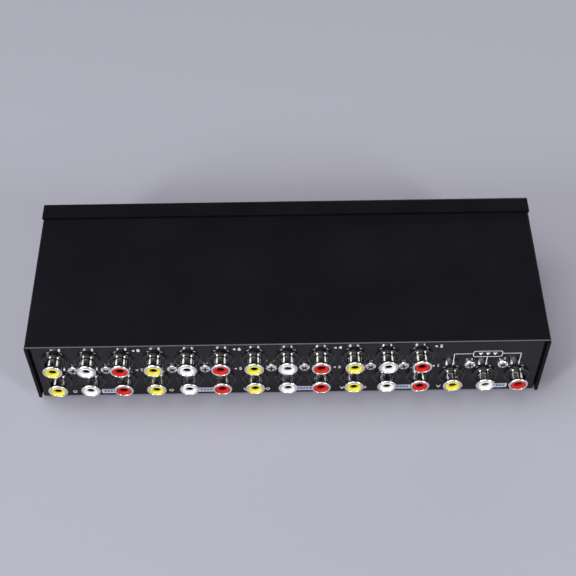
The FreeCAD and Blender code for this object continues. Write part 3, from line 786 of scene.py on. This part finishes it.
print_work = bmesh.new()
strips = bmesh.new()
bars_ink = bmesh.new()
for number in range(1, 9):
    red = jacks[f"input_{number}"]["red"]
    level = red.z + above_jack
    lay(print_work, pointer(0.8, 90), on_rear(red.x - pointer_aside, level))
    numeral(print_work, str(number), figure_size, on_rear(red.x - figure_aside, level))
for group in ("input_7", "input_5", "input_3", "input_1", "output"):
    yellow, white, red = (jacks[group][colour] for colour in ("yellow", "white", "red"))
    level = yellow.z - below_jack
    middle = (white.x + red.x) / 2
    lay(strips, bar(strip_width, strip_height, 0.5), on_rear(middle, level))
    for step in range(-2, 3):
        place = on_rear(middle + step * bar_pitch, level, ink_film)
        lay(bars_ink, bar(bar_width, bar_height, 0.2), place)
    ring = hollow(bar(ring_size, ring_size, 0.7), ring_line)
    lay(print_work, ring, on_rear(yellow.x - ring_aside, level))
    for side in (1, -1):
        lean = Matrix.Rotation(math.radians(side * v_lean), 4, "Z")
        place = on_rear(yellow.x + v_aside + side * v_half, level) @ lean
        lay(print_work, bar(0.34, 1.9), place)

# The bracket: a box over the middle jack, a line out to each side, and three lines down
left, centre, right = (jacks["output"][colour] for colour in ("yellow", "white", "red"))
box_level = centre.z + box_rise
line_level = box_level + 0.25
line_foot = centre.z + above_jack
lay(print_work, hollow(bar(box_width, box_height, 1.2), line), on_rear(centre.x, box_level))
for step in (-1, 0, 1):
    lay(print_work, pointer(1.15, 180), on_rear(centre.x + step * 3.0, line_level))
line_top = line_level + line / 2
for jack, side in ((left, 1), (right, -1)):
    inner = centre.x + side * box_width / 2
    lay(print_work, bar(abs(jack.x - inner), line), on_rear((inner + jack.x) / 2, line_level))
    lay(print_work, bar(line, line_top - line_foot), on_rear(jack.x, (line_top + line_foot) / 2))
line_top = box_level - box_height / 2 + 0.05
lay(print_work, bar(line, line_top - line_foot), on_rear(centre.x, (line_top + line_foot) / 2))
piece("rear_print", print_work, ink, "case", "panel_paint", smooth=0)
piece("rear_print_strips", strips, strip_ink, "case", "panel_paint", smooth=0)
piece("rear_print_on_strips", bars_ink, dark_ink, "case", "panel_paint", smooth=0)

# Switches
# Eight ribbed black mouldings with brown end plates, soldered to the board by tinned legs. A
# zinc-plated steel bracket is screwed down over them, and the lock bar slides behind its face.
end_resin = finish(
    "end_resin",
    colours=((0.13, 0.065, 0.028), (0.09, 0.045, 0.02)),
    grain=(1300, 0.2),
    patches=240,
    gloss=(0.32, 0.5),
)
tin = finish(
    "solder_tin",
    colours=((0.66, 0.67, 0.69), (0.50, 0.51, 0.54)),
    grain=(1900, 0.25),
    patches=800,
    gloss=(0.2, 0.44),
    Metallic=1.0,
)
ends = bmesh.new()
ribs = bmesh.new()
legs = bmesh.new()
joints = bmesh.new()
joint_outline = ((0.0, 0.0), (1.15, 0.0), (0.8, -0.25), (0.5, -0.6), (0.36, -0.95), (0.0, -1.1))
rivet_apart, rivet_drop, rivet_radius = 3.8, 2.8, 0.9
leg_pitch, leg_height = 4, 6.5
contact_pitch = 5
between_rows = 20
near_terminal, far_terminal = 4, 9


def solder(shape, x, y):
    """Adds a cone of solder under the board, with the tip of a leg in it."""
    cone = spun(joint_outline, (0, 0, 1), 12)
    block(cone, (-0.3, -0.12, -1.5), (0.3, 0.12, -0.5))
    add_copies(shape, cone, [(x, y, board_under)])


for number in range(1, 9):
    dress(f"switch_housing_{number}", block_plastic)
    low, high = box_of(f"switch_housing_{number}")
    middle = (low.x + high.x) / 2
    end = block(
        ends, (low.x + 0.6, high.y - 0.1, low.z + 0.3), (high.x - 0.6, high.y + 0.7, high.z - 0.8)
    )
    soften(ends, [edge for edge in edges_of(end) if not runs_along(edge, "y")], 0.2, 2)
    end_face = high.y + 0.65
    for x in (middle - rivet_apart, middle + rivet_apart):
        rivet = bmesh.ops.create_uvsphere(
            ends,
            u_segments=16,
            v_segments=8,
            radius=rivet_radius,
            matrix=Matrix.Translation((x, end_face, high.z - rivet_drop)),
        )["verts"]
        bmesh.ops.scale(
            ends, verts=rivet, vec=(1, 0.5, 1), space=Matrix.Translation((0, -end_face, 0))
        )
    for x in (middle - leg_pitch, middle, middle + leg_pitch):
        leg = block(
            legs, (x - 0.4, high.y + 0.6, low.z), (x + 0.4, high.y + 0.9, low.z + leg_height)
        )
        soften(legs, [edge for edge in edges_of(leg) if runs_along(edge, "y")], 0.12, 2)
        solder(joints, x, high.y + 0.75)
    for y in (low.y + 8, (low.y + high.y) / 2 + 1, high.y - 3.5):
        for x in (low.x, high.x):
            rib = block(ribs, (x - 0.4, y - 0.6, low.z + 0.5), (x + 0.4, y + 0.6, high.z - 1.2))
            soften(ribs, [edge for edge in edges_of(rib) if runs_along(edge, "z")], 0.25, 2)
    for x in (low.x + 1.8, high.x - 1.8):
        for step in range(4):
            solder(joints, x, low.y + 4.5 + contact_pitch * step)
for group in jacks.values():
    for place in group.values():
        inward = near_terminal if place.z < between_rows else far_terminal
        solder(joints, place.x, panel_inner - inward)
piece("switch_ends", ends, end_resin, "case", "block_plastic")
piece("switch_legs", legs, tin, "case", "zinc_steel")
piece("switch_ribs", ribs, block_plastic, "case", "block_plastic")
piece("solder_joints", joints, tin, "case", "zinc_steel")
dress("switch_bracket", zinc)
dress("lock_bar", zinc)

# Stems and return springs
# Each stem is a square nylon rod with two notches and a cam for the lock bar. A coil of hard
# steel wire round it, between the cap's skirt and the bracket, pushes the button back.
nylon = finish(
    "natural_nylon",
    colours=((0.62, 0.60, 0.52), (0.54, 0.51, 0.43)),
    grain=(1700, 0.1),
    patches=260,
    gloss=(0.35, 0.5),
    Subsurface_Weight=0.08,
)
spring_wire = finish(
    "spring_wire",
    colours=((0.52, 0.52, 0.54), (0.36, 0.36, 0.38)),
    grain=(3200, 0.15),
    patches=700,
    gloss=(0.2, 0.36),
    Metallic=1.0,
)


def coil(low, high, axis, radius, wire, turns):
    """A helix of round wire that fills the length between two levels of an axis."""
    shape = bmesh.new()
    length = high[axis] - low[axis] - 2 * wire
    place = [(low[i] + high[i]) / 2 for i in range(3)]
    place[axis] = low[axis] + wire
    section = bmesh.ops.create_circle(
        shape,
        segments=6,
        radius=wire,
        matrix=Matrix.Translation(Vector(place) + Vector((0, 0, radius)))
        @ Matrix.Rotation(math.pi / 2, 4, "X" if axis == 0 else "Y"),
    )["verts"]
    steps = int(turns * 14)
    spun_about = Vector((0, 0, 0))
    spun_about[axis] = 1
    bmesh.ops.spin(
        shape,
        geom=section + edges_of(section),
        cent=place,
        axis=spun_about,
        dvec=spun_about * (length / steps),
        angle=math.tau * turns,
        steps=steps,
    )
    bmesh.ops.remove_doubles(shape, verts=shape.verts, dist=1e-4)
    bmesh.ops.holes_fill(shape, edges=[edge for edge in shape.edges if edge.is_boundary])
    return shape


for number in range(1, 9):
    dress(f"plunger_{number}", nylon)
    low, high = box_of(f"button_spring_{number}")
    spring = piece(
        f"return_spring_{number}",
        coil(low, high, axis=1, radius=2.95, wire=0.22, turns=4),
        spring_wire,
        "case",
        "spring_steel",
        f"button_spring_{number}",
    )
    middle = (low + high) / 2
    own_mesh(spring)
low, high = box_of("lock_spring")
bar_spring = piece(
    "lock_bar_spring",
    coil(low, high, axis=0, radius=1.3, wire=0.18, turns=5),
    spring_wire,
    None,
    "spring_steel",
    "lock_spring",
)
middle = (low + high) / 2
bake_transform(bar_spring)

# Button caps
# Black satin mouldings, 12 mm by 7 mm, with a shallow finger dish in the face and rounded
# edges. A skirt behind the panel keeps each one in its window, and its socket grips the stem.
cap_plastic = finish(
    "cap_plastic",
    colours=((0.020, 0.020, 0.022), (0.028, 0.028, 0.030)),
    grain=(2600, 0.22),
    patches=200,
    gloss=(0.36, 0.52),
)


def drawn_out(shape, outline, levels):
    """Extends a rounded outline along Y by pairs of an inset from it and a level."""
    points = list(dict.fromkeys(vertex for edge in outline for vertex in edge.verts))
    middle = sum((vertex.co for vertex in points), Vector()) / len(points)
    reach = Vector([max(abs(vertex.co[i] - middle[i]) for vertex in points) for i in range(3)])
    done = 0.0
    edges = list(outline)
    bmesh.ops.edgeloop_fill(shape, edges=edges)
    for inset, level in levels:
        grown = bmesh.ops.extrude_edge_only(shape, edges=edges)["geom"]
        edges = [e for e in grown if isinstance(e, bmesh.types.BMEdge)]
        rim = [v for v in grown if isinstance(v, bmesh.types.BMVert)]
        across = (reach.x - inset) / (reach.x - done)
        upward = (reach.z - inset) / (reach.z - done)
        bmesh.ops.scale(
            shape, verts=rim, vec=(across, 1, upward), space=Matrix.Translation(-middle)
        )
        for vertex in rim:
            vertex.co.y = level
        done = inset
    bmesh.ops.edgeloop_fill(shape, edges=edges)


skirt_border = 1.0
skirt_thickness = 1.0
skirt_corner = 0.6
cap_root = 0.2
cap_corner = 0.9
cap_edge = 0.55
for number in range(1, 9):
    low, high = box_of(f"button_cap_{number}")
    skirt_front = high.y - skirt_thickness
    cap = bar(high.x - low.x - 2 * skirt_border, high.z - low.z - 2 * skirt_border, cap_corner)
    root = ((low.x + high.x) / 2, skirt_front + cap_root, (low.z + high.z) / 2)
    bmesh.ops.transform(
        cap,
        verts=cap.verts,
        matrix=Matrix.Translation(root) @ Matrix.Rotation(math.pi / 2, 4, "X"),
    )
    outline = list(cap.edges)
    bmesh.ops.delete(cap, geom=list(cap.faces), context="FACES_ONLY")
    rounding = [
        (cap_edge * (1 - math.cos(angle)), low.y + cap_edge * (1 - math.sin(angle)))
        for angle in map(math.radians, (0, 22, 45, 68, 90))
    ]
    dish = [(0.95, low.y), (1.15, low.y + 0.06), (1.5, low.y + 0.2), (2.1, low.y + 0.3)]
    drawn_out(cap, outline, rounding + dish)
    bmesh.ops.recalc_face_normals(cap, faces=cap.faces)
    skirt = block(cap, (low.x, skirt_front, low.z), (high.x, high.y, high.z))
    corners = [edge for edge in edges_of(skirt) if runs_along(edge, "y")]
    soften(cap, corners, skirt_corner, 3)
    body = f"button_{number}"
    piece(f"cap_{number}", cap, cap_plastic, body, "cap_plastic", f"button_cap_{number}")

# Front panel
# One sheet of matte black steel with a window for each button. Its upper edge is folded back
# over the cover as a strip, whose cut edge has a paler painted highlight. White figures number the
# buttons.
front_paint = finish(
    "front_matte_black",
    colours=((0.0030, 0.0030, 0.0044), (0.0036, 0.0036, 0.0052)),
    grain=(2600, 0.28),
    patches=45,
    gloss=(0.40, 0.50),
    Specular_IOR_Level=0.08,
)
front_low, front_high = box_of("front_panel")
# Painted highlight: the strip's cut edge is coloured paler, for the light it catches.
wear(front_paint, {"y": front_high.y - 0.2}, (0.05, 0.05, 0.055), 0.2)
dress("front_panel", front_paint)
number_size = 3.6
number_rise = 3.6
front_marks = bmesh.new()
for number in range(1, 9):
    low, high = box_of(f"button_cap_{number}")
    place = Matrix.Translation(((low.x + high.x) / 2, front_low.y, high.z + number_rise))
    place = place @ Matrix(((1, 0, 0, 0), (0, 0, -1, 0), (0, 1, 0, 0), (0, 0, 0, 1)))
    numeral(front_marks, str(number), number_size, place)
piece("front_figures", front_marks, ink, "case", "front_paint", smooth=0)

# Cover
# A U of sheet steel over the top and sides, in fine matte black. It slides in under the strip,
# overhangs the rear panel by 2 mm, and is screwed to the base's ears at each side.
cover_paint = finish(
    "cover_matte_black",
    colours=((0.0036, 0.0036, 0.0058), (0.0045, 0.0045, 0.0070)),
    grain=(2600, 0.28),
    patches=30,
    gloss=(0.40, 0.50),
    Specular_IOR_Level=0.08,
)
cover_low, cover_high = box_of("top_cover")
# Painted highlight: the rear cut edge of the top is coloured paler, for the light it catches.
highlight_levels = {"y": cover_high.y - 0.2, "z": cover_high.z - 0.75}
wear(cover_paint, highlight_levels, (0.13, 0.13, 0.14), 0.2)
dress("top_cover", cover_paint)

# Two small pips pressed up in the cover, just behind the ends of the strip
pip_radius = 0.6
pip_apart = 103.5
pip_behind_strip = 0.9
pip_bite = 0.05
pips = bmesh.new()
for side in (-1, 1):
    place = (side * pip_apart, front_high.y + pip_behind_strip, cover_high.z)
    dome = bmesh.ops.create_uvsphere(
        pips, u_segments=16, v_segments=8, radius=pip_radius, matrix=Matrix.Translation(place)
    )["verts"]
    bmesh.ops.scale(
        pips, verts=dome, vec=(1, 1, 0.3), space=Matrix.Translation((0, 0, -cover_high.z))
    )
bmesh.ops.bisect_plane(
    pips,
    geom=list(pips.verts) + list(pips.edges) + list(pips.faces),
    plane_co=(0, 0, cover_high.z - pip_bite),
    plane_no=(0, 0, -1),
    clear_outer=True,
)
bmesh.ops.holes_fill(pips, edges=[edge for edge in pips.edges if edge.is_boundary])
piece("cover_pips", pips, cover_paint, "case", "case_paint")

# Cover screws
# The four screws in the sides are the same steel pan heads, blackened to match the paint. They
# go through the cover into the ears of the base.
black_screw = finish(
    "blackened_screw",
    colours=((0.030, 0.030, 0.032), (0.055, 0.055, 0.058)),
    grain=(2600, 0.12),
    patches=500,
    gloss=(0.28, 0.42),
    Metallic=0.6,
)
low, high = box_of("cover_screws")
side_heads = bmesh.new()
level = (low.z + high.z) / 2
for x, side in ((cover_low.x, -1), (cover_high.x, 1)):
    for step, y in enumerate((-20, 20)):
        screw_head(side_heads, (x, y, level), (side, 0, 0), 25 + 40 * step + 10 * side)
# The cross recesses of these take the same painted shade.
blackened_and_recess_shade = (black_screw, recess_shade)
piece("cover_screw_heads", side_heads, blackened_and_recess_shade, "case", "case_paint", "cover_screws")

# Table, lights and camera
# A plain pale table under a wide soft ceiling light. Two tall lights beside the viewer show in
# the shells as twin streaks, and weaker ones stand behind the viewer and before the buttons.
table_finish = bpy.data.materials.new("pale_table")
table_finish.use_nodes = True
table_shader = table_finish.node_tree.nodes["Principled BSDF"]
table_shader.inputs["Base Color"].default_value = (0.335, 0.33, 0.392, 1)
table_shader.inputs["Roughness"].default_value = 0.75
half_table = 12
top = bmesh.new()
bmesh.ops.create_grid(top, x_segments=1, y_segments=1, size=half_table)
surface = bpy.data.meshes.new("table")
top.to_mesh(surface)
top.free()
surface.materials.append(table_finish)
table = bpy.data.objects.new("table", surface)
bpy.context.scene.collection.objects.link(table)

# The room is pale low down and darker above, with a little more light behind the viewer
sky = bpy.data.worlds.new("studio")
sky.use_nodes = True
bpy.context.scene.world = sky
tree = sky.node_tree
way = put(tree, "ShaderNodeTexCoord").outputs["Generated"]
apart = put(tree, "ShaderNodeSeparateXYZ", {0: way}).outputs
glow = put(
    tree,
    "ShaderNodeMapRange",
    {"Value": apart[2], "From Min": 0.0, "From Max": 0.3, "To Min": 0.52, "To Max": 0.05},
    interpolation_type="SMOOTHSTEP",
).outputs["Result"]
behind_viewer = put(
    tree,
    "ShaderNodeMapRange",
    {"Value": apart[1], "From Min": -0.15, "From Max": 0.5, "To Min": 0.0, "To Max": 0.10},
    interpolation_type="SMOOTHSTEP",
).outputs["Result"]
both = put(tree, "ShaderNodeMath", {0: glow, 1: behind_viewer}, operation="ADD").outputs[0]
tree.links.new(both, tree.nodes["Background"].inputs["Strength"])
tree.nodes["Background"].inputs["Color"].default_value = (0.93, 0.95, 1.0, 1)

# Soft lights: the way each one lies in, its distance, width and height in metres, and its power
for name, way, distance, width, height, power in (
    ("light_left", (0.635, 0.613, 0.469), 1.5, 0.26, 0.5, 11),
    ("light_right", (-0.635, 0.613, 0.469), 1.5, 0.24, 0.5, 9),
    ("light_behind_viewer", (0.0, 0.62, 0.79), 1.5, 0.9, 0.6, 1.8),
    ("light_overhead", (0.42, 0.16, 1.0), 1.2, 1.15, 1.4, 6.5),
    ("light_on_buttons", (-0.4, -1.0, 0.18), 1.5, 0.9, 0.4, 5.0),
):
    soft = bpy.data.lights.new(name, "AREA")
    soft.shape = "RECTANGLE"
    soft.size = width
    soft.size_y = height
    soft.energy = power
    lamp = bpy.data.objects.new(name, soft)
    lamp.location = Vector(way).normalized() * distance
    lamp.rotation_euler = Vector(way).to_track_quat("Z", "Y").to_euler()
    bpy.context.scene.collection.objects.link(lamp)
ceiling = bpy.data.lights.new("light_from_ceiling", "SUN")
ceiling.energy = 1.4
ceiling.angle = math.radians(56)
lamp = bpy.data.objects.new("light_from_ceiling", ceiling)
lamp.rotation_euler = Vector((0.34, 0.03, 1.0)).to_track_quat("Z", "Y").to_euler()
bpy.context.scene.collection.objects.link(lamp)

# The camera stands behind the box and looks down on the jacks. Its focal length was found in
# pixels of a picture 576 wide, from the corners of the box and the rows of jacks.
picture_width = 576
focal_pixels = 1153.64
eye_place = Vector((-0.63, 308.6, 431.07))
viewer = bpy.data.cameras.new("viewer")
viewer.sensor_width = 36
viewer.lens = viewer.sensor_width * focal_pixels / picture_width
eye = bpy.data.objects.new("viewer", viewer)
down = math.radians(52.5)
forward = Vector((0, -math.cos(down), -math.sin(down)))
rightward = Vector((-1, 0, 0))
downward = forward.cross(rightward)
level_view = Matrix((rightward, downward, forward))
roll = Matrix.Rotation(math.radians(-0.87), 3, "Z")
swing = Matrix.Rotation(math.radians(0.01), 3, "Y")
axes = roll @ swing @ level_view
frame_of_eye = Matrix((axes[0], -axes[1], -axes[2])).transposed()
eye.matrix_world = Matrix.Translation(eye_place * mm) @ frame_of_eye.to_4x4()
bpy.context.scene.collection.objects.link(eye)
bpy.context.scene.camera = eye
bpy.context.scene.view_settings.view_transform = "Standard"
